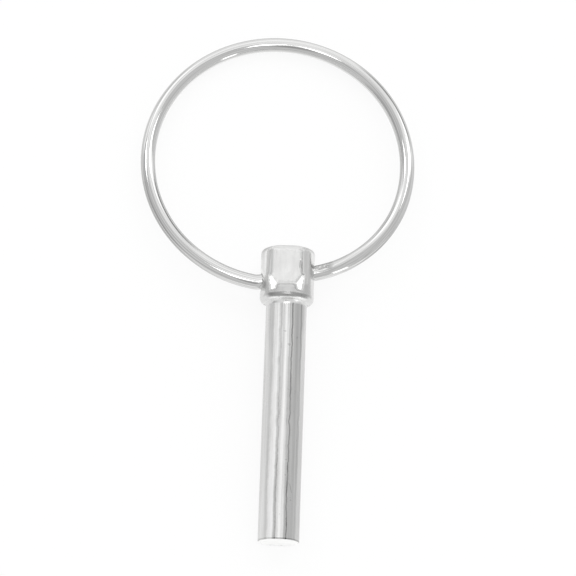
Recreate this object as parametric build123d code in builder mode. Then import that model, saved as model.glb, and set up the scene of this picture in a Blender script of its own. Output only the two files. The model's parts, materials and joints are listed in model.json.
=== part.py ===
from build123d import *
import os
from math import asin, atan, atan2, cos, degrees, hypot, radians, sin, sqrt, tan

# A quarter-inch lynch pin, lying on its side with its ring folded open.
# Millimetres. +Z is up from the surface that it lies on, +Y runs from the pin's end to the ring.
# The origin is the middle of the shoulder, where the shank leaves the head.

# Shank: plain drawn bar, cut off square.
shank_diameter = 6.35
shank_length = 37.5
shank_end_break = 0.15

# Head: upset from the same bar, flat on top, with a round rim that flares out of the shank.
head_diameter = 8.38
head_length = 8.56
head_top_round = 0.65
head_rim_round = 0.8
neck_length = 0.45

# Two flats pressed into the head. Each is deepest at its chin and runs out at the top.
flat_distance = 2.85
flat_tilt = 5.0
flat_turn = -6.0
flat_width = 4.8
flat_side_height = 4.1
flat_wall_slope = 17.0
chin_height = 2.6
chin_width = 2.65

# Below a flat, a ramp on each side of a nose that keeps the head's full round.
ramp_rise = 19.0
ramp_foot_height = 1.1
nose_width = 3.1
nose_height = 1.5

# Cross hole: one skew hole through the head, lower on the left than on the right.
hole_height = 4.28
hole_skew = 12.1
hole_clearance = 0.06
hole_mouth_break = 0.3

# Ring: one length of spring wire, both ends turned into the cross hole.
wire_diameter = 2.38
ring_diameter = 41.02
ring_shift = 2.07
left_bend_radius = 2.9
wire_end_gap = 0.5

# Every cut runs this far past the solid.
overrun = 1.0

# The way it lies: the head's rim and the far end of the shank both touch the surface.
shank_radius = shank_diameter / 2
head_radius = head_diameter / 2
wire_radius = wire_diameter / 2
rim_rise = head_radius - head_rim_round - shank_radius
rim_run = shank_length - shank_end_break + head_rim_round
lean = asin(head_rim_round / hypot(rim_rise, rim_run)) + atan2(rim_rise, rim_run)
shoulder_height = shank_radius * cos(lean) + (shank_length - shank_end_break) * sin(lean)
lying = Plane(origin=(0, 0, 0), x_dir=(1, 0, 0), z_dir=(0, -sin(lean), cos(lean)))
pin_axis = Axis(lying.origin, lying.y_dir)

# The hinge line runs along the cross hole, through the pin's axis.
skew = radians(hole_skew)
hinge_point = lying.origin + lying.y_dir * hole_height
hinge_dir = lying.x_dir * cos(skew) + lying.y_dir * sin(skew)
square_dir = lying.y_dir * cos(skew) - lying.x_dir * sin(skew)
hinge_axis = Axis(hinge_point, hinge_dir)

# The hole opens a little at both mouths, where the wire bends.
hole_radius = wire_radius + hole_clearance
mouth = head_radius / cos(skew)
mouth_radius = hole_radius + hole_mouth_break + overrun

# The ring's circle, seen square on: x along the hinge line, y away from it.
# The wire's left bend starts at the head's side, and its radius sets how far away the circle's middle is.
# The right bend starts where the mouth begins to open, and its radius follows from the circle.
ring_radius = ring_diameter / 2
left_start = -mouth
right_start = mouth - hole_mouth_break
left_beside = ring_shift - left_start
right_beside = right_start - ring_shift
ring_middle = left_bend_radius + sqrt((ring_radius - left_bend_radius) ** 2 - left_beside**2)
right_chord = ring_radius**2 - ring_middle**2 - right_beside**2
right_bend_radius = right_chord / (2 * (ring_radius - ring_middle))
right_join = degrees(atan2(right_bend_radius - ring_middle, right_beside))
left_join = degrees(atan2(left_bend_radius - ring_middle, left_beside))
half_wire_gap = wire_end_gap / 2

# The open ring droops from the hinge until its far side touches the surface.
hinge_height = shoulder_height + hole_height * sin(lean)
ring_reach = ring_middle + ring_radius
ring_droop = atan(cos(skew) * tan(lean)) + asin((hinge_height - wire_radius) / ring_reach)
ring_out = square_dir * cos(ring_droop) - lying.z_dir * sin(ring_droop)
ring_plane = Plane(origin=hinge_point, x_dir=hinge_dir, z_dir=hinge_dir.cross(ring_out))

# The pin: turned about its axis, then pressed flat on two sides and drilled.
rim_middle = head_radius - head_rim_round
top_middle = head_radius - head_top_round
top_start = head_length - head_top_round

# A flat's sides run down the head, then close in to the chin along two creases.
# A ramp starts at each crease. Heights are from the chin, along the flat.
half_flat = flat_width / 2
half_chin = chin_width / 2
half_nose = nose_width / 2
top_rise = head_length + overrun - chin_height
side_rise = flat_side_height - chin_height
nose_rise = nose_height - chin_height
foot_rise = ramp_foot_height - chin_height
crease_angle = atan2(side_rise, half_flat - half_chin)

with BuildPart() as pin:
    with BuildSketch(lying):
        with BuildLine():
            Polyline(
                (0, head_length),
                (0, -shank_length),
                (shank_radius - shank_end_break, -shank_length),
                (shank_radius, shank_end_break - shank_length),
                (shank_radius, -neck_length),
                (rim_middle, 0),
            )
            CenterArc((rim_middle, head_rim_round), head_rim_round, -90, 90)
            Line((head_radius, head_rim_round), (head_radius, top_start))
            CenterArc((top_middle, top_start), head_top_round, 0, 90)
            Line((top_middle, head_length), (0, head_length))
        make_face()
    revolve(axis=pin_axis)
    for turn in (flat_turn, flat_turn + 180):
        upright = lying.rotated((0, turn, 0))
        chin = upright.from_local_coords((0, chin_height, flat_distance))
        flat_normal = upright.z_dir.rotate(Axis(chin, upright.x_dir), flat_tilt)
        flat = Plane(chin, x_dir=upright.x_dir, z_dir=flat_normal)
        with BuildSketch(flat):
            with BuildLine():
                Polyline(
                    (half_flat, top_rise),
                    (-half_flat, top_rise),
                    (-half_flat, side_rise),
                    (-half_chin, 0),
                    (half_chin, 0),
                    (half_flat, side_rise),
                    close=True,
                )
            make_face()
        extrude(amount=head_radius, taper=-flat_wall_slope, mode=Mode.SUBTRACT)
        for side in (-1, 1):
            corner = flat.from_local_coords((side * half_chin, 0, 0))
            crease = flat.x_dir * side * cos(crease_angle) + flat.y_dir * sin(crease_angle)
            ramp_normal = flat.z_dir.rotate(Axis(corner, crease), -side * ramp_rise)
            with BuildPart(mode=Mode.SUBTRACT):
                with BuildSketch(flat):
                    with BuildLine():
                        Polyline(
                            (side * half_chin, 0),
                            (side * half_flat, side_rise),
                            (side * head_radius, side_rise),
                            (side * head_radius, foot_rise),
                            (side * half_nose, nose_rise),
                            close=True,
                        )
                    make_face()
                extrude(amount=head_radius)
                split(bisect_by=Plane(corner, z_dir=ramp_normal), keep=Keep.TOP)
    with BuildSketch(Plane(hinge_point, x_dir=hinge_dir, z_dir=lying.z_dir)):
        with BuildLine():
            Polyline(
                (-mouth - overrun, 0),
                (mouth + overrun, 0),
                (mouth + overrun, mouth_radius),
                (mouth - hole_mouth_break, hole_radius),
                (hole_mouth_break - mouth, hole_radius),
                (-mouth - overrun, mouth_radius),
                close=True,
            )
        make_face()
    revolve(axis=hinge_axis, mode=Mode.SUBTRACT)

# The ring: out of the hole on the right, round the circle, and back in on the left.
with BuildPart() as ring:
    with BuildLine(ring_plane) as wire:
        Line((half_wire_gap, 0), (right_start, 0))
        CenterArc((right_start, right_bend_radius), right_bend_radius, -90, 90 + right_join)
        CenterArc((ring_shift, ring_middle), ring_radius, right_join, 180 - left_join - right_join)
        CenterArc((left_start, left_bend_radius), left_bend_radius, 180 - left_join, 90 + left_join)
        Line((left_start, 0), (-half_wire_gap, 0))
    with BuildSketch(Plane(wire.line @ 0, z_dir=wire.line % 0)):
        Circle(wire_radius)
    sweep()

os.makedirs("parts", exist_ok=True)
pin.part.label = "pin"
export_step(pin.part, "parts/pin.step")
ring.part.label = "ring"
export_step(ring.part, "parts/ring.step")
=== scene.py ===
import json
from math import cos, radians, sin, tan

import bpy
from mathutils import Matrix, Vector


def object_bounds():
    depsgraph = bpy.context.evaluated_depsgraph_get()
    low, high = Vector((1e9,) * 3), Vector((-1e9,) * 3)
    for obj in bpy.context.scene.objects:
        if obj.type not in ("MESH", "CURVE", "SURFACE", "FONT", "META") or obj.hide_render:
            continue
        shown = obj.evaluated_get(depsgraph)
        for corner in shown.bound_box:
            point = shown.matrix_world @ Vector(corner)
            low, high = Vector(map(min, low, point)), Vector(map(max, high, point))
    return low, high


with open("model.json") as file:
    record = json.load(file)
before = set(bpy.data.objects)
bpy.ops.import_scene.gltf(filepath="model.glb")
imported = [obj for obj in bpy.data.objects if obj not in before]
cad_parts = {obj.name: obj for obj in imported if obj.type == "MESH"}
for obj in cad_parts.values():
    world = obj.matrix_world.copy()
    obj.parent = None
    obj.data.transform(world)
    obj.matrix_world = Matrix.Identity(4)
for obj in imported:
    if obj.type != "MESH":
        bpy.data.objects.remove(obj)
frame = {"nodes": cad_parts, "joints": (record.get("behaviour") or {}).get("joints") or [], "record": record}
cad_low, cad_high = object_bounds()

# One millimetre and one micrometre, in metres.
MM = 0.001
MICRON = MM * MM
mounts = {mount["name"]: mount for mount in frame["record"]["mounts"]}

# The pin's own axes: x across, y along the pin from its end to the head, z up. The origin is the shoulder.
# Its sizes are in millimetres, and heights are from the shoulder.
PIN_ORIGIN = Vector(mounts["shank"]["pos_m"])
PIN_ALONG = -Vector(mounts["shank"]["axis"])
PIN_ACROSS = Vector((1, 0, 0))
PIN_AXES = (PIN_ACROSS, PIN_ALONG, PIN_ACROSS.cross(PIN_ALONG))
SHANK_LENGTH = 37.5
WHOLE_SHANK = (-SHANK_LENGTH, 0.0)
NECK_LENGTH = 0.45
HEAD_LENGTH = 8.56
HEAD_RADIUS = 4.19
HOLE_HEIGHT = 4.28
HOLE_SKEW = radians(12.1)

# The ring's own axes: x along its hinge line, z out of its plane. The origin is the ring's middle.
RING_ORIGIN = Vector(mounts["ring_loop"]["pos_m"])
RING_OUT = Vector(mounts["ring_loop"]["axis"])
RING_ACROSS = Vector(frame["joints"][0]["axis"])
RING_AXES = (RING_ACROSS, RING_OUT.cross(RING_ACROSS), RING_OUT)
RING_RADIUS = 20.51

# Camera, fitted to the photograph. Lengths in metres, sensor and lens in millimetres.
CAMERA_ELEVATION = radians(73.0531)
CAMERA_AZIMUTH = radians(-13.0)
CAMERA_ROLL = radians(15.4217)
CAMERA_DISTANCE = 0.467072
CAMERA_TARGET = Vector((0.1546, 2.6431, 0.0)) * MM
CAMERA_SENSOR = 36.0
CAMERA_LENS = 187.54
CAMERA_CLIP = (0.01, 20.0)

# Floor: a plain pale sheet to the light, and white with a faint shadow to the camera.
# The lift is the part of its brightness that the shadow doesn't take away.
FLOOR_REACH = 4.0
FLOOR_COLOUR = 0.9
FLOOR_SHADE = 0.17
FLOOR_LIFT = 0.845

# The same floor as the metal shows it: a deeper shadow, and a lift that is painted shade and painted light,
# grey near the pin, greyer round the ring, and palest close to the wire. Edges, reaches and the like are
# where a change starts and ends, in millimetres. The band is its middle, its half width and how far it fades
# beyond that.
FLOOR_SHADE_IN_METAL = 0.4
FLOOR_LIFT_AT_END = 0.8
FLOOR_LIFT_AT_SHANK = 0.58
FLOOR_LIFT_AT_HEAD = 0.7
FLOOR_LIFT_AT_RING = (0.3, 0.5)
FLOOR_LIFT_AT_WIRE = 0.9
FLOOR_END_EDGE = (-39.0, -36.0)
FLOOR_HEAD_EDGE = (-12.0, 0.0)
FLOOR_SHANK_EDGE = (-3.0, 2.0)
FLOOR_HEAD_BESIDE = (11.0, 16.0)
FLOOR_HEAD_BEHIND = (7.0, 13.0)
FLOOR_RING_REACH = (5.0, 45.0)
FLOOR_WIRE_BAND = (RING_RADIUS, 2.0, 4.0)

# Room: grey in front and white at the back, with brighter and darker patches.
# The back's edge is how far back a direction points, where 1 is straight back.
# A place is degrees from +X towards +Y, and degrees from straight up. Inner and outer are half angles.
ROOM_GREY = 0.72
ROOM_BACK = 1.12
ROOM_BACK_EDGE = (0.36, 0.50)
ROOM_PATCHES = (
    {"label": "overhead glow", "place": (252, 7), "inner": 6, "outer": 17, "grey": 1.1},
    {"label": "overhead back", "place": (88, 14), "inner": 4, "outer": 10, "grey": 1.35},
    {"label": "right glow", "place": (42, 55), "inner": 6, "outer": 13, "grey": 1.7},
    {"label": "left glow", "place": (122, 55), "inner": 6, "outer": 13, "grey": 1.6},
    {"label": "right corner", "place": (48, 88), "inner": 9, "outer": 20, "grey": 0.26},
    {"label": "right gap", "place": (60, 70), "inner": 3, "outer": 9, "grey": 0.5},
    {"label": "left corner", "place": (188, 84), "inner": 12, "outer": 32, "grey": 0.48},
    {"label": "left gap", "place": (153, 57), "inner": 4, "outer": 14, "grey": 0.52},
    {"label": "left back", "place": (126, 88), "inner": 7, "outer": 15, "grey": 0.62},
    {"label": "front", "place": (262, 37), "inner": 5, "outer": 15, "grey": 0.42},
)

# Softboxes: places as above, half angles as seen from the part, and brightness, where 1 is white.
# The power is in watts for each square metre of a softbox with a brightness of 1.
SOFTBOX_POWER = 4.0
SOFTBOX_DISTANCE = 0.9
SOFTBOXES = (
    {"name": "overhead_left_light", "place": (215, 13), "half_size": (5, 6), "radiance": 2.1},
    {"name": "overhead_right_light", "place": (300, 11), "half_size": (5, 6), "radiance": 2.1},
    {"name": "left_back_light", "place": (143, 46), "half_size": (5, 5), "radiance": 2.0},
    {"name": "right_back_light", "place": (50, 35), "half_size": (5, 5), "radiance": 2.0},
    {"name": "right_front_light", "place": (308, 80), "half_size": (5, 14), "radiance": 0.9},
)

# Noise for the finishes: bumps per millimetre along each of a piece's own axes, and its fineness.
# Most of its values are within the span.
NOISE_SPAN = (0.3, 0.7)
PIN_LINES = {"stretch": (5, 0.05, 5), "detail": 5, "roughness": 0.6}
PIN_STREAKS = {"stretch": (1.1, 0.02, 1.1), "detail": 5, "roughness": 0.6}
PIN_GRAIN = {"stretch": (5, 5, 5), "detail": 5, "roughness": 0.65}
PIN_CLOUD = {"stretch": (0.45, 0.3, 0.45), "detail": 3}
PIN_PITS = {"stretch": (2.2, 0.5, 2.2), "detail": 5, "roughness": 0.65}
PIN_SPECKS = {"stretch": (0.9, 0.9, 0.9), "detail": 2, "offset": (3, 1, 7)}
PIN_WANDER = {"stretch": (0.05, 0.35, 0.05), "detail": 4, "roughness": 0.6}
WIRE_LINES = {"stretch": (6, 0.05, 6), "detail": 5, "roughness": 0.6}
WIRE_CLOUD = {"stretch": (0.4, 0.4, 0.4), "detail": 3}
WIRE_RUBS = {"stretch": (3.0, 2.0, 3.0), "detail": 5, "roughness": 0.65}

# Regions of the pin, in millimetres, with edges and bands as above.
SHANK_EDGE = (-NECK_LENGTH - 0.15, -NECK_LENGTH + 0.05)
END_EDGE = (-SHANK_LENGTH + 0.02, -SHANK_LENGTH + 0.05)
TOP_EDGE = (HEAD_LENGTH - 1.0, HEAD_LENGTH - 0.3)
CROWN_EDGE = (2.2, 3.2)
UPPER_EDGE = (0.0, 0.5)
FULL_ROUND_EDGE = (HEAD_RADIUS - 0.25, HEAD_RADIUS - 0.1)
MOUTH_REACH = (1.5, 2.3)
MOUTH_BESIDE = (2.7, 3.3)
END_LINE_BAND = (-SHANK_LENGTH + 0.13, 0.08, 0.06)
NECK_BAND = (-0.15, 0.35, 0.15)
RIM_BAND = (0.62, 0.2, 0.25)
NOSE_BAND = (1.8, 0.6, 0.3)

# Tones of the pin: the share of the light that comes back from each region.
PIN_TINT = (1.0, 1.0, 0.993)
HEAD_TONE = 0.71
SHANK_TONE = 0.735
# Painted light: the end face is brighter than the floor it reflects makes it.
END_PAINTED_LIGHT_TONE = 0.95
# Painted highlight: a bright line round the neck.
NECK_HIGHLIGHT_TONE = 0.95
# Painted light on the head round the hole's mouths.
MOUTH_PAINTED_LIGHT_TONE = 0.84

# Changes of tone, up and down or on an edge. The broad streaks are weaker away from the shank's side.
STREAK_TONE = 0.05
STREAK_SHARE = (0.4, 1.0)
LINE_TONE = 0.07
GRAIN_TONE = 0.02
EDGE_TONE = 0.04

# How much of a region's tone is lost: painted shade on the rim, the nose, the line round the end and the
# creases, and real darkening in marks and scratches.
RIM_PAINTED_SHADE = 0.42
NOSE_PAINTED_SHADE = 0.16
END_LINE_PAINTED_SHADE = 0.35
CREASE_PAINTED_SHADE = 0.3
MARK_DULL = 0.35
SCRATCH_DULL = 0.25

# Roughness of the regions, and what the rest adds to it.
HEAD_ROUGHNESS = 0.2
SHANK_ROUGHNESS = 0.32
TOP_ROUGHNESS = 0.36
SATIN_ROUGHNESS = 0.52
END_ROUGHNESS = 0.5
RIM_ROUGHNESS = 0.3
NOSE_ROUGHNESS = 0.45
LINE_ROUGHNESS = 0.03
CLOUD_ROUGHNESS = 0.03
MARK_ROUGHNESS = 0.2
EDGE_ROUGHNESS = -0.04

# Bump heights, in micrometres.
LINE_HEIGHT = 4.0
HEAD_CLOUD_HEIGHT = 20.0
END_GRAIN_HEIGHT = 25.0
GRAIN_HEIGHT = 1.5
MARK_HEIGHT = -6.0
SCRATCH_HEIGHT = -15.0

# Edges and creases: radius or reach in millimetres, and where the result counts as an edge or a crease. The
# creases get painted shade.
SHANK_EDGE_ROUND = 0.2
HEAD_EDGE_ROUND = 0.7
EDGE_SPAN = (0.86, 0.98)
CREASE_REACH = 0.5
CREASE_SPAN = (0.5, 0.95)
EDGE_SAMPLES = 8

# Streaks along the shank: degrees round from the top, and how dark at the end and at the head.
# A streak with a depth below zero is brighter than the rest. Pits lie so many degrees to each side of it.
# The satin band is rougher than the rest. All of them wander a few degrees. The broad streaks at 31.5 and 62
# degrees are painted shade on the shank's right side, and the bright one at -30 degrees is painted light on
# its left.
WANDER_SPAN = (0.25, 0.75)
STREAK_WANDER = 2.0
SATIN_BAND = (-34.0, 7.0, 9.0)
STREAKS_AND_PAINTED_BANDS = (
    # Painted shade on the shank's right side.
    {"turn": 31.5, "half_width": 16, "softness": 3, "depth": (0.18, 0.24), "pits": 0},
    {"turn": 12.5, "half_width": 3, "softness": 4, "depth": (0.24, 0.22), "pits": 0},
    {"turn": 15.5, "half_width": 0.4, "softness": 1.5, "depth": (0.24, 0.2), "pits": 1.5},
    {"turn": 5, "half_width": 2, "softness": 5, "depth": (0.05, 0.08), "pits": 0},
    {"turn": 46, "half_width": 1.5, "softness": 4, "depth": (0.04, 0.2), "pits": 0},
    # Painted shade on the shank's right flank.
    {"turn": 62, "half_width": 6, "softness": 9, "depth": (0.12, 0.1), "pits": 0},
    {"turn": -17.5, "half_width": 2, "softness": 4, "depth": (0.2, 0.14), "pits": 0},
    {"turn": -15.5, "half_width": 0.4, "softness": 1.5, "depth": (0.2, 0.06), "pits": 1.2},
    # Painted light, brighter than the rest, on the shank's left side.
    {"turn": -30, "half_width": 4, "softness": 9, "depth": (-0.3, -0.28), "pits": 0},
)

# Pits and specks: the noise values where they start and are full. Pits thin out towards the head.
PIT_SPAN = (0.48, 0.6)
PIT_SHARE = (1.0, 0.35)
SPECK_SPAN = (0.70, 0.74)
SPECK_SHARE = 0.6

# Scratches on the upper side: start and end, across and along the pin.
# The fade is the share of a scratch over which it runs out at its ends.
SCRATCH_WIDTH = 0.2
SCRATCH_FADE = 0.3
SCRATCHES = (
    ((1.75, 6.5), (1.62, 5.0)),
    ((1.95, 6.2), (1.88, 4.9)),
    ((1.2, -28.8), (1.6, -30.4)),
)

# Finish of the wire, each range from the low to the high parts of its draw lines.
WIRE_TINT = (1.0, 1.0, 0.994)
WIRE_TONE = (0.56, 0.81)
WIRE_ROUGHNESS = (0.05, 0.09)
WIRE_CLOUD_ROUGHNESS = 0.02

# Marks where the wire rubs in the head's right mouth, rough and bumped as wear and darkened as painted
# shade: bands along the hinge line and away from it.
RUB_BESIDE = (3.3, 1.2, 1.2)
RUB_AWAY = (-18.4, 0.7, 0.4)
RUB_SPAN = (0.4, 0.56)
RUB_PAINTED_SHADE = 0.42
RUB_ROUGHNESS = 0.05
RUB_HEIGHT = -1.0


def direction(azimuth, zenith):
    """The unit vector towards an azimuth from +X and an angle from straight up, both in degrees."""
    a, z = radians(azimuth), radians(zenith)
    return Vector((sin(z) * cos(a), sin(z) * sin(a), cos(z)))


def add_node(tree, kind, label, inputs=(), **properties):
    """Adds a shader node. Each input takes a value, or the output of another node."""
    made = tree.nodes.new(kind)
    made.name = made.label = label
    for key, value in properties.items():
        setattr(made, key, value)
    for key, value in dict(inputs).items():
        if isinstance(value, bpy.types.NodeSocket):
            tree.links.new(value, made.inputs[key])
        else:
            made.inputs[key].default_value = value
    return made


def calculate(tree, operation, *values):
    """The result of a sum on values or outputs."""
    label = operation.lower().replace("_", " ")
    return add_node(tree, "ShaderNodeMath", label, enumerate(values), operation=operation).outputs[0]


def add_changes(tree, value, *changes):
    """A value plus, for each pair of a share and a change, their product."""
    for share, change in changes:
        value = calculate(tree, "MULTIPLY_ADD", share, change, value)
    return value


def take_away(tree, value, *losses):
    """A value after losses: each pair of a share and a loss takes that part of it away."""
    for share, loss in losses:
        value = calculate(tree, "MULTIPLY", value, calculate(tree, "MULTIPLY_ADD", share, -loss, 1.0))
    return value


def distance(tree, a, b):
    """The length of the diagonal over two sides."""
    return calculate(tree, "SQRT", calculate(tree, "MULTIPLY_ADD", a, a, calculate(tree, "MULTIPLY", b, b)))


def fade(tree, value, low, high, start=0.0, end=1.0):
    """A smooth step from start to end as the value goes from low to high."""
    inputs = {"Value": value, "From Min": low, "From Max": high, "To Min": start, "To Max": end}
    made = add_node(tree, "ShaderNodeMapRange", "fade", inputs, interpolation_type="SMOOTHSTEP")
    return made.outputs["Result"]


def sway(tree, value, amount):
    """From minus an amount to plus that amount, as noise goes over its span."""
    return fade(tree, value, *NOISE_SPAN, -amount, amount)


def band(tree, value, middle, half_width, softness):
    """One within a band of values, fading out on both sides."""
    off = calculate(tree, "ABSOLUTE", calculate(tree, "SUBTRACT", value, middle))
    return fade(tree, off, half_width, half_width + softness, 1.0, 0.0)


def mix(tree, label, share, low, high):
    """From low to high as a share goes from 0 to 1."""
    inputs = {"Factor": share, "A": low, "B": high}
    return add_node(tree, "ShaderNodeMix", label, inputs, data_type="FLOAT").outputs["Result"]


def noise(tree, place, stretch, detail, roughness=0.5, offset=(0, 0, 0)):
    """Noise from 0 to 1, with its own number of bumps per millimetre along each axis."""
    inputs = {"Vector": place, "Scale": stretch, "Location": offset}
    spread = add_node(tree, "ShaderNodeMapping", "stretch", inputs)
    inputs = {"Vector": spread.outputs[0], "Scale": 1.0, "Detail": detail, "Roughness": roughness}
    return add_node(tree, "ShaderNodeTexNoise", "noise", inputs).outputs["Fac"]


def own_place(tree, origin, axes):
    """The place on a piece in its own axes, in millimetres."""
    turn = Matrix(axes)
    scale = 1 / MM
    inputs = {
        "Vector": add_node(tree, "ShaderNodeTexCoord", "place").outputs["Object"],
        "Location": turn @ origin * -scale,
        "Rotation": turn.to_euler(),
        "Scale": (scale, scale, scale),
    }
    return add_node(tree, "ShaderNodeMapping", "own axes", inputs).outputs[0]


def new_material(name):
    """A material with an empty tree, and the tree."""
    material = bpy.data.materials.new(name)
    material.use_nodes = True
    material.node_tree.nodes.clear()
    return material, material.node_tree


def finish_metal(tree, tone, tint, roughness, normal):
    """Ends a tree in a bare metal whose brightness, roughness and normal come from other nodes."""
    colour = add_node(tree, "ShaderNodeVectorMath", "tint", {0: tint, "Scale": tone}, operation="SCALE")
    inputs = {"Base Color": colour.outputs[0], "Metallic": 1.0, "Roughness": roughness, "Normal": normal}
    metal = add_node(tree, "ShaderNodeBsdfPrincipled", "plating", inputs)
    add_node(tree, "ShaderNodeOutputMaterial", "out", {"Surface": metal.outputs[0]})


def make_camera():
    """The camera at the photograph's angle, with its roll."""
    back = Vector(
        (
            cos(CAMERA_ELEVATION) * sin(CAMERA_AZIMUTH),
            -cos(CAMERA_ELEVATION) * cos(CAMERA_AZIMUTH),
            sin(CAMERA_ELEVATION),
        )
    )
    level = Vector((0, 0, 1)).cross(back).normalized()
    upright = back.cross(level)
    right = level * cos(CAMERA_ROLL) + upright * sin(CAMERA_ROLL)
    up = upright * cos(CAMERA_ROLL) - level * sin(CAMERA_ROLL)
    data = bpy.data.cameras.new("camera")
    data.sensor_width = CAMERA_SENSOR
    data.lens = CAMERA_LENS
    data.clip_start, data.clip_end = CAMERA_CLIP
    camera = bpy.data.objects.new("camera", data)
    turn = Matrix((right, up, back)).transposed().to_4x4()
    camera.matrix_world = Matrix.Translation(CAMERA_TARGET + back * CAMERA_DISTANCE) @ turn
    bpy.context.collection.objects.link(camera)
    bpy.context.scene.camera = camera


def painted_floor_light_in_metal(tree):
    """The floor's lift as the metal shows it: painted shade and painted light, by what stands at each place.
    """
    place = add_node(tree, "ShaderNodeTexCoord", "place").outputs["Object"]
    split = add_node(tree, "ShaderNodeSeparateXYZ", "split", {0: place})
    across = calculate(tree, "DIVIDE", calculate(tree, "ABSOLUTE", split.outputs["X"]), MM)
    along = calculate(tree, "DIVIDE", split.outputs["Y"], MM)

    # Near the pin: its end, its shank and its head.
    beside = fade(tree, across, *FLOOR_HEAD_BESIDE, 1.0, 0.0)
    near_head = calculate(tree, "MULTIPLY", beside, fade(tree, along, *FLOOR_HEAD_BEHIND, 1.0, 0.0))
    near_pin = calculate(tree, "MAXIMUM", near_head, fade(tree, along, *FLOOR_SHANK_EDGE, 1.0, 0.0))
    at_end = fade(tree, along, *FLOOR_END_EDGE, FLOOR_LIFT_AT_END, FLOOR_LIFT_AT_SHANK)
    more_at_head = fade(tree, along, *FLOOR_HEAD_EDGE, 0.0, FLOOR_LIFT_AT_HEAD - FLOOR_LIFT_AT_SHANK)
    at_pin = calculate(tree, "ADD", at_end, more_at_head)

    # Near the ring: close to the wire, and further away.
    inputs = {0: place, 1: (RING_ORIGIN.x, RING_ORIGIN.y, 0)}
    reach = add_node(tree, "ShaderNodeVectorMath", "from ring middle", inputs, operation="DISTANCE")
    reach = calculate(tree, "DIVIDE", reach.outputs["Value"], MM)
    near_wire = band(tree, reach, *FLOOR_WIRE_BAND)
    far_level = fade(tree, along, *FLOOR_RING_REACH, *FLOOR_LIFT_AT_RING)
    at_ring = mix(tree, "lift at ring", near_wire, far_level, FLOOR_LIFT_AT_WIRE)
    return mix(tree, "lift in metal", near_pin, at_ring, at_pin)


def make_floor():
    """A plain pale sheet under the part, with the part's shadow."""
    reach = FLOOR_REACH
    mesh = bpy.data.meshes.new("floor")
    corners = [(-reach, -reach, 0), (reach, -reach, 0), (reach, reach, 0), (-reach, reach, 0)]
    mesh.from_pydata(corners, [], [(0, 1, 2, 3)])
    floor = bpy.data.objects.new("floor", mesh)
    floor.location.z = cad_low.z
    bpy.context.collection.objects.link(floor)
    material, tree = new_material("floor_sheet")
    ray = add_node(tree, "ShaderNodeLightPath", "ray")
    to_camera = ray.outputs["Is Camera Ray"]
    seen = calculate(tree, "MAXIMUM", to_camera, ray.outputs["Is Glossy Ray"])
    sheet = add_node(tree, "ShaderNodeBsdfDiffuse", "sheet", {"Color": (FLOOR_COLOUR,) * 3 + (1,)})
    shade = mix(tree, "shade level", to_camera, FLOOR_SHADE_IN_METAL, FLOOR_SHADE)
    faint = add_node(tree, "ShaderNodeBsdfDiffuse", "faint shadow", {"Color": shade})
    # Seen in the metal, the floor's lift is painted shade and painted light, set by place.
    level = mix(tree, "lift level", to_camera, painted_floor_light_in_metal(tree), FLOOR_LIFT)
    lift = add_node(tree, "ShaderNodeEmission", "lift", {"Strength": level})
    white = add_node(tree, "ShaderNodeAddShader", "white", {0: faint.outputs[0], 1: lift.outputs[0]})
    inputs = {0: seen, 1: sheet.outputs[0], 2: white.outputs[0]}
    pick = add_node(tree, "ShaderNodeMixShader", "pick", inputs)
    add_node(tree, "ShaderNodeOutputMaterial", "out", {"Surface": pick.outputs[0]})
    mesh.materials.append(material)


def make_room():
    """The room's brightness by direction, and plain white to the camera."""
    world = bpy.data.worlds.new("studio")
    bpy.context.scene.world = world
    world.use_nodes = True
    tree = world.node_tree
    tree.nodes.clear()
    toward = add_node(tree, "ShaderNodeTexCoord", "direction").outputs["Generated"]
    split = add_node(tree, "ShaderNodeSeparateXYZ", "split", {0: toward})
    glow = fade(tree, split.outputs["Y"], *ROOM_BACK_EDGE, ROOM_GREY, ROOM_BACK)
    for patch in ROOM_PATCHES:
        inputs = {0: toward, 1: direction(*patch["place"])}
        near = add_node(tree, "ShaderNodeVectorMath", "near patch", inputs, operation="DOT_PRODUCT")
        outer, inner = cos(radians(patch["outer"])), cos(radians(patch["inner"]))
        share = fade(tree, near.outputs["Value"], outer, inner)
        glow = mix(tree, patch["label"], share, glow, patch["grey"])
    ray = add_node(tree, "ShaderNodeLightPath", "ray")
    seen = mix(tree, "white to the camera", ray.outputs["Is Camera Ray"], glow, 1.0)
    surround = add_node(tree, "ShaderNodeBackground", "surround", {"Color": (1, 1, 1, 1), "Strength": seen})
    add_node(tree, "ShaderNodeOutputWorld", "out", {"Surface": surround.outputs[0]})


def make_softbox(name, place, half_size, radiance):
    """A rectangular light that faces the part."""
    toward = direction(*place)
    half_width, half_height = half_size
    lamp = bpy.data.lights.new(name, "AREA")
    lamp.shape = "RECTANGLE"
    lamp.size = 2 * SOFTBOX_DISTANCE * tan(radians(half_width))
    lamp.size_y = 2 * SOFTBOX_DISTANCE * tan(radians(half_height))
    lamp.energy = SOFTBOX_POWER * lamp.size * lamp.size_y * radiance
    box = bpy.data.objects.new(name, lamp)
    box.location = CAMERA_TARGET + toward * SOFTBOX_DISTANCE
    box.rotation_euler = toward.to_track_quat("Z", "Y").to_euler()
    bpy.context.collection.objects.link(box)


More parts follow.
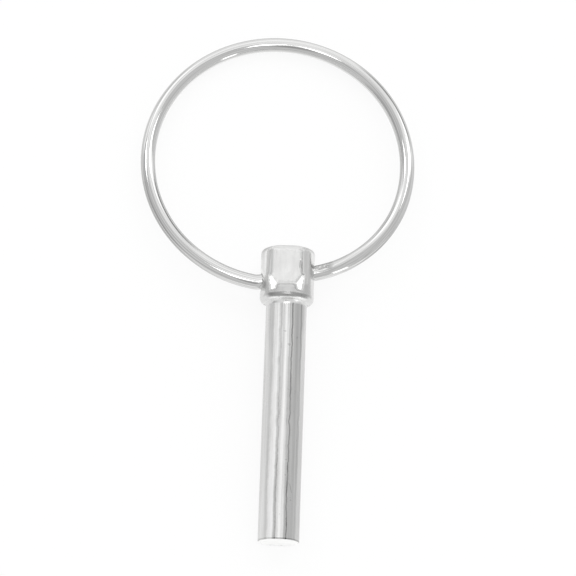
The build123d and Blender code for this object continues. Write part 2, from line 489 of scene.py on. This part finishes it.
def wire_material():
    """Bright plated spring wire, with draw lines along it and marks where it rubs in the head, darkened
    there as painted shade.
    """
    material, tree = new_material("plated_wire_finish")
    place = own_place(tree, RING_ORIGIN, RING_AXES)
    x, y, out = add_node(tree, "ShaderNodeSeparateXYZ", "split", {0: place}).outputs
    inward = calculate(tree, "SUBTRACT", distance(tree, x, y), RING_RADIUS)
    along = calculate(tree, "MULTIPLY", calculate(tree, "ARCTAN2", y, x), RING_RADIUS)
    inputs = {0: inward, 1: along, 2: out}
    section = add_node(tree, "ShaderNodeCombineXYZ", "along the wire", inputs).outputs[0]
    lines = noise(tree, section, **WIRE_LINES)
    cloud = noise(tree, place, **WIRE_CLOUD)
    rub_and_painted_shade = fade(tree, noise(tree, section, **WIRE_RUBS), *RUB_SPAN)
    rub_and_painted_shade = calculate(tree, "MULTIPLY", rub_and_painted_shade, band(tree, x, *RUB_BESIDE))
    rub_and_painted_shade = calculate(tree, "MULTIPLY", rub_and_painted_shade, band(tree, y, *RUB_AWAY))
    tone = fade(tree, lines, *NOISE_SPAN, *WIRE_TONE)
    # Painted shade on the wire at the head's right mouth.
    tone = take_away(tree, tone, (rub_and_painted_shade, RUB_PAINTED_SHADE))
    roughness = fade(tree, lines, *NOISE_SPAN, *WIRE_ROUGHNESS)
    clouding = fade(tree, cloud, *NOISE_SPAN, 0.0, WIRE_CLOUD_ROUGHNESS)
    roughness = add_changes(tree, roughness, (1.0, clouding), (rub_and_painted_shade, RUB_ROUGHNESS))
    height = add_changes(tree, lines, (rub_and_painted_shade, RUB_HEIGHT))
    inputs = {"Strength": 1.0, "Distance": MICRON, "Height": height}
    bump = add_node(tree, "ShaderNodeBump", "surface height", inputs)
    finish_metal(tree, tone, WIRE_TINT, roughness, bump.outputs[0])
    return material


def pin_regions(tree, x, along, z):
    """How far a place in the pin's own axes is in each of its regions, from 0 to 1, by name."""
    shank = fade(tree, along, *SHANK_EDGE, 1.0, 0.0)
    end = fade(tree, along, *END_EDGE, 1.0, 0.0)
    crown = fade(tree, calculate(tree, "ABSOLUTE", z), *CROWN_EDGE)
    full_round = calculate(tree, "MULTIPLY", crown, fade(tree, distance(tree, x, z), *FULL_ROUND_EDGE))
    off_hole = calculate(tree, "MULTIPLY", calculate(tree, "SUBTRACT", along, HOLE_HEIGHT), cos(HOLE_SKEW))
    off_hole = add_changes(tree, off_hole, (x, -sin(HOLE_SKEW)))
    near_hole = fade(tree, distance(tree, off_hole, z), *MOUTH_REACH, 1.0, 0.0)
    outside = fade(tree, calculate(tree, "ABSOLUTE", x), *MOUTH_BESIDE)
    return {
        "shank": shank,
        "head": calculate(tree, "SUBTRACT", 1.0, shank),
        "end": end,
        "side": calculate(tree, "SUBTRACT", shank, end),
        "top": fade(tree, along, *TOP_EDGE),
        "crown": crown,
        "neck": calculate(tree, "MULTIPLY", crown, band(tree, along, *NECK_BAND)),
        "rim": calculate(tree, "MULTIPLY", crown, band(tree, along, *RIM_BAND)),
        "nose": calculate(tree, "MULTIPLY", full_round, band(tree, along, *NOSE_BAND)),
        "mouth": calculate(tree, "MULTIPLY", near_hole, outside),
        "end_line": band(tree, along, *END_LINE_BAND),
    }


def shank_streaks_and_painted_bands(tree, turn, along):
    """How dark the streaks along the shank are, the broad ones being painted shade and painted light, and
    how near a place is to those with pits.
    """
    streaks_and_painted_light = 0.0
    near_pits = 0.0
    for streak in STREAKS_AND_PAINTED_BANDS:
        inside = band(tree, turn, streak["turn"], streak["half_width"], streak["softness"])
        streaks_and_painted_light = add_changes(tree, streaks_and_painted_light, (inside, fade(tree, along, *WHOLE_SHANK, *streak["depth"])))
        if streak["pits"]:
            near = band(tree, turn, streak["turn"], streak["pits"], streak["pits"])
            near = calculate(tree, "MULTIPLY", near, fade(tree, along, *WHOLE_SHANK, *PIT_SHARE))
            near_pits = calculate(tree, "MAXIMUM", near_pits, near)
    return streaks_and_painted_light, near_pits


def scratch(tree, across, along, start, end):
    """One along a straight scratch between two places, each across and along the pin in millimetres."""
    slope = (end[0] - start[0]) / (end[1] - start[1])
    run = calculate(tree, "MULTIPLY_ADD", calculate(tree, "SUBTRACT", along, start[1]), slope, start[0])
    line = band(tree, calculate(tree, "SUBTRACT", across, run), 0.0, SCRATCH_WIDTH / 4, SCRATCH_WIDTH / 4)
    middle = (start[1] + end[1]) / 2
    half_length = abs(end[1] - start[1]) / 2
    faded = SCRATCH_FADE * half_length
    return calculate(tree, "MULTIPLY", line, band(tree, along, middle, half_length - faded, faded))


def all_scratches(tree, x, along, z):
    """One along every scratch on the upper side."""
    worn = 0.0
    for start, end in SCRATCHES:
        worn = calculate(tree, "MAXIMUM", worn, scratch(tree, x, along, start, end))
    return calculate(tree, "MULTIPLY", worn, fade(tree, z, *UPPER_EDGE))


def rounded_edges(tree, along):
    """The normal with the edges rounded, and one where it leaves the true normal."""
    neck_start = -NECK_LENGTH - HEAD_EDGE_ROUND
    rounds = (SHANK_EDGE_ROUND * MM, HEAD_EDGE_ROUND * MM)
    radius = fade(tree, along, neck_start - SHANK_EDGE_ROUND, neck_start, *rounds)
    rounding = add_node(tree, "ShaderNodeBevel", "rounded edges", {"Radius": radius}, samples=EDGE_SAMPLES)
    normal = rounding.outputs[0]
    inputs = {0: normal, 1: add_node(tree, "ShaderNodeNewGeometry", "surface").outputs["True Normal"]}
    agree = add_node(tree, "ShaderNodeVectorMath", "edge", inputs, operation="DOT_PRODUCT")
    return normal, fade(tree, agree.outputs["Value"], *EDGE_SPAN, 1.0, 0.0)


def crease_painted_shade(tree):
    """Painted shade in the creases: how much darker a place is, from how little of the open it sees."""
    inputs = {"Distance": CREASE_REACH * MM}
    kind = "ShaderNodeAmbientOcclusion"
    open_share = add_node(tree, kind, "crease_painted_shade", inputs, samples=EDGE_SAMPLES, only_local=True)
    return fade(tree, open_share.outputs["AO"], *CREASE_SPAN, CREASE_PAINTED_SHADE, 0.0)


def pin_material():
    """Plated steel: a drawn satin shank with streaks, pits and broad bands of painted shade and light, a
    smoother pressed head with painted shade and highlights, a cropped end with painted light.
    """
    material, tree = new_material("plated_pin_finish")
    place = own_place(tree, PIN_ORIGIN, PIN_AXES)
    x, along, z = add_node(tree, "ShaderNodeSeparateXYZ", "split", {0: place}).outputs
    region = pin_regions(tree, x, along, z)
    side = region["side"]
    wander = fade(tree, noise(tree, place, **PIN_WANDER), *WANDER_SPAN, -STREAK_WANDER, STREAK_WANDER)
    turn = calculate(tree, "ADD", calculate(tree, "DEGREES", calculate(tree, "ARCTAN2", x, z)), wander)
    satin = calculate(tree, "MULTIPLY", band(tree, turn, *SATIN_BAND), side)
    normal, edge = rounded_edges(tree, along)

    # Fine draw lines, broad streaks, plating grain and slow clouding.
    lines = noise(tree, place, **PIN_LINES)
    streaks = noise(tree, place, **PIN_STREAKS)
    grain = noise(tree, place, **PIN_GRAIN)
    cloud = noise(tree, place, **PIN_CLOUD)

    # Darker places: streaks on the shank, whose broad bands are painted shade and one painted light, and
    # painted shade on the rim, nose and creases of the head and in a line round the end.
    streaks_and_painted_light, near_pits = shank_streaks_and_painted_bands(tree, turn, along)
    streaks_and_painted_light = add_changes(
        tree,
        calculate(tree, "MULTIPLY", streaks_and_painted_light, side),
        (region["rim"], RIM_PAINTED_SHADE),
        (region["nose"], NOSE_PAINTED_SHADE),
        (crease_painted_shade(tree), calculate(tree, "MULTIPLY", region["crown"], region["head"])),
        (region["end_line"], END_LINE_PAINTED_SHADE),
    )

    # Marks: pits along two of the streaks, specks all over, and scratches.
    pits = fade(tree, noise(tree, place, **PIN_PITS), *PIT_SPAN)
    pitted = calculate(tree, "MULTIPLY", calculate(tree, "MULTIPLY", near_pits, pits), side)
    specks = fade(tree, noise(tree, place, **PIN_SPECKS), *SPECK_SPAN)
    marks = calculate(tree, "MAXIMUM", pitted, calculate(tree, "MULTIPLY", specks, SPECK_SHARE))
    worn = all_scratches(tree, x, along, z)

    tone = add_changes(
        tree,
        fade(tree, region["shank"], 0.0, 1.0, HEAD_TONE, SHANK_TONE),
        (sway(tree, streaks, STREAK_TONE), fade(tree, side, 0.0, 1.0, *STREAK_SHARE)),
        (side, sway(tree, lines, LINE_TONE)),
        (1.0, sway(tree, grain, GRAIN_TONE)),
        # Painted highlight round the neck.
        (region["neck"], NECK_HIGHLIGHT_TONE - SHANK_TONE),
        # Painted light round the hole's mouths.
        (region["mouth"], MOUTH_PAINTED_LIGHT_TONE - HEAD_TONE),
        # Painted light on the end face.
        (region["end"], END_PAINTED_LIGHT_TONE - SHANK_TONE),
        (edge, EDGE_TONE),
    )
    tone = take_away(tree, tone, (streaks_and_painted_light, 1.0), (marks, MARK_DULL), (worn, SCRATCH_DULL))

    roughness = add_changes(
        tree,
        fade(tree, region["shank"], 0.0, 1.0, HEAD_ROUGHNESS, SHANK_ROUGHNESS),
        (region["end"], END_ROUGHNESS - SHANK_ROUGHNESS),
        (region["top"], TOP_ROUGHNESS - HEAD_ROUGHNESS),
        (region["rim"], RIM_ROUGHNESS - HEAD_ROUGHNESS),
        (region["nose"], NOSE_ROUGHNESS - HEAD_ROUGHNESS),
        (satin, SATIN_ROUGHNESS - SHANK_ROUGHNESS),
        (1.0, sway(tree, lines, LINE_ROUGHNESS)),
        (1.0, sway(tree, cloud, CLOUD_ROUGHNESS)),
        (marks, MARK_ROUGHNESS),
        (edge, EDGE_ROUGHNESS),
    )

    height = add_changes(
        tree,
        0.0,
        (calculate(tree, "MULTIPLY", lines, side), LINE_HEIGHT),
        (calculate(tree, "MULTIPLY", cloud, region["head"]), HEAD_CLOUD_HEIGHT),
        (calculate(tree, "MULTIPLY", grain, region["end"]), END_GRAIN_HEIGHT),
        (grain, GRAIN_HEIGHT),
        (marks, MARK_HEIGHT),
        (worn, SCRATCH_HEIGHT),
    )
    inputs = {"Strength": 1.0, "Distance": MICRON, "Height": height, "Normal": normal}
    bump = add_node(tree, "ShaderNodeBump", "surface height", inputs)
    finish_metal(tree, tone, PIN_TINT, roughness, bump.outputs[0])
    return material


make_camera()
make_floor()
make_room()
for softbox in SOFTBOXES:
    make_softbox(**softbox)

frame["nodes"]["pin"].material_slots[0].material = pin_material()
frame["nodes"]["ring"].material_slots[0].material = wire_material()

bpy.context.scene.view_settings.view_transform = "Standard"
